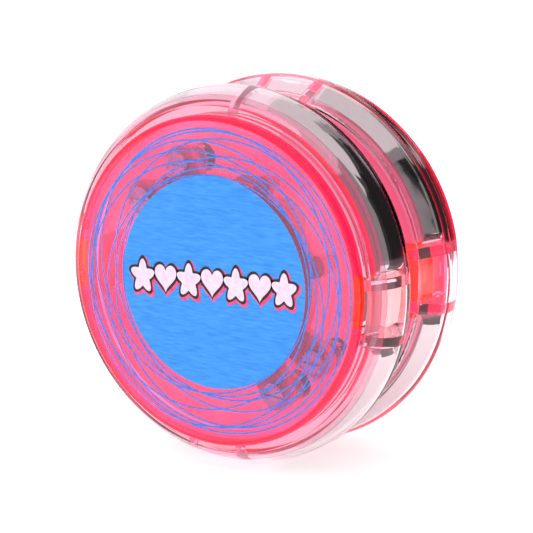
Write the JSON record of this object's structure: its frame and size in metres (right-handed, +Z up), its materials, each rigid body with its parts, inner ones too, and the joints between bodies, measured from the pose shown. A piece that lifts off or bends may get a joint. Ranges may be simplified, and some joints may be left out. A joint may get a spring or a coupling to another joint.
{
  "type": "clutch yo-yo",
  "caption": "Round yo-yo with clear halves, pink side caps, chrome rim weights and a centrifugal clutch on its string spindle.",
  "frame": {"origin": "middle of the axle and of the string gap, centre of the whole yo-yo", "axes": "+Y along the axle towards the rear half, +X to the right of the printed front cap, +Z up"},
  "size_m": [0.057, 0.0288, 0.057],
  "materials": {
    "clear_plastic": "clear polycarbonate, polished",
    "fluorescent_plastic": "see-through fluorescent pink, polished",
    "chrome": "chrome plated, mirror",
    "steel": "zinc plated",
    "frame_plastic": "moulded, pink",
    "white_plastic": "moulded acetal",
    "print_ink": "printed, azure with fine streaks",
    "pad_rubber": "brake pad rubber"
  },
  "bodies": {
    "front_half": {"front_shell": "clear_plastic", "front_shoulder_ring": "clear_plastic", "front_tray": "fluorescent_plastic", "front_cap": "fluorescent_plastic", "front_rim_weight_1": "chrome", "front_rim_weight_2": "chrome", "front_print": "print_ink", "clutch_plate": "frame_plastic", "clutch_screws": "steel", "axle_bolt": "steel", "front_washer": "steel", "pivot_pin_1": "steel", "pivot_pin_2": "steel", "clutch_spring_1": "steel", "clutch_spring_2": "steel"},
    "spindle": {"spindle": "white_plastic"},
    "clutch_arm_1": {"clutch_arm_1": "white_plastic", "arm_weight_1": "steel", "arm_pad_1": "pad_rubber"},
    "clutch_arm_2": {"clutch_arm_2": "white_plastic", "arm_weight_2": "steel", "arm_pad_2": "pad_rubber"},
    "thrust_washer": {"rear_washer": "steel"},
    "rear_half": {"rear_shell": "clear_plastic", "rear_shoulder_ring": "clear_plastic", "rear_tray": "fluorescent_plastic", "rear_cap": "fluorescent_plastic", "rear_rim_weight_1": "chrome", "rear_rim_weight_2": "chrome", "axle_nut": "steel"}
  },
  "joints": [
    {"name": "spindle_spin", "type": "hinge", "parent": "front_half", "child": "spindle", "pos_m": [0, 0, 0], "axis": [0, 1, 0], "continuous": true},
    {"name": "clutch_arm_1_swing", "type": "hinge", "parent": "front_half", "child": "clutch_arm_1", "pos_m": [-0.00098, -0.0063, -0.01246], "axis": [0, 1, 0], "range_deg": [0, 12], "stiffness_Nm_per_rad": 0.01, "springref_deg": -17.19, "deforming": ["clutch_spring_1"]},
    {"name": "clutch_arm_2_swing", "type": "hinge", "parent": "front_half", "child": "clutch_arm_2", "pos_m": [0.00098, -0.0063, 0.01246], "axis": [0, 1, 0], "range_deg": [0, 12], "stiffness_Nm_per_rad": 0.01, "springref_deg": -17.19, "deforming": ["clutch_spring_2"]},
    {"name": "rear_half_travel", "type": "slide", "parent": "front_half", "child": "thrust_washer", "axis": [0, 1, 0], "range_m": [0, 0.0028]},
    {"name": "rear_half_unscrew", "type": "hinge", "parent": "thrust_washer", "child": "rear_half", "pos_m": [0, 0, 0], "axis": [0, 1, 0], "range_deg": [0, 1440]}
  ],
  "couplings": [
    {"joint": "rear_half_travel", "follows": "rear_half_unscrew", "m_per_rad": 0.00011141}
  ]
}
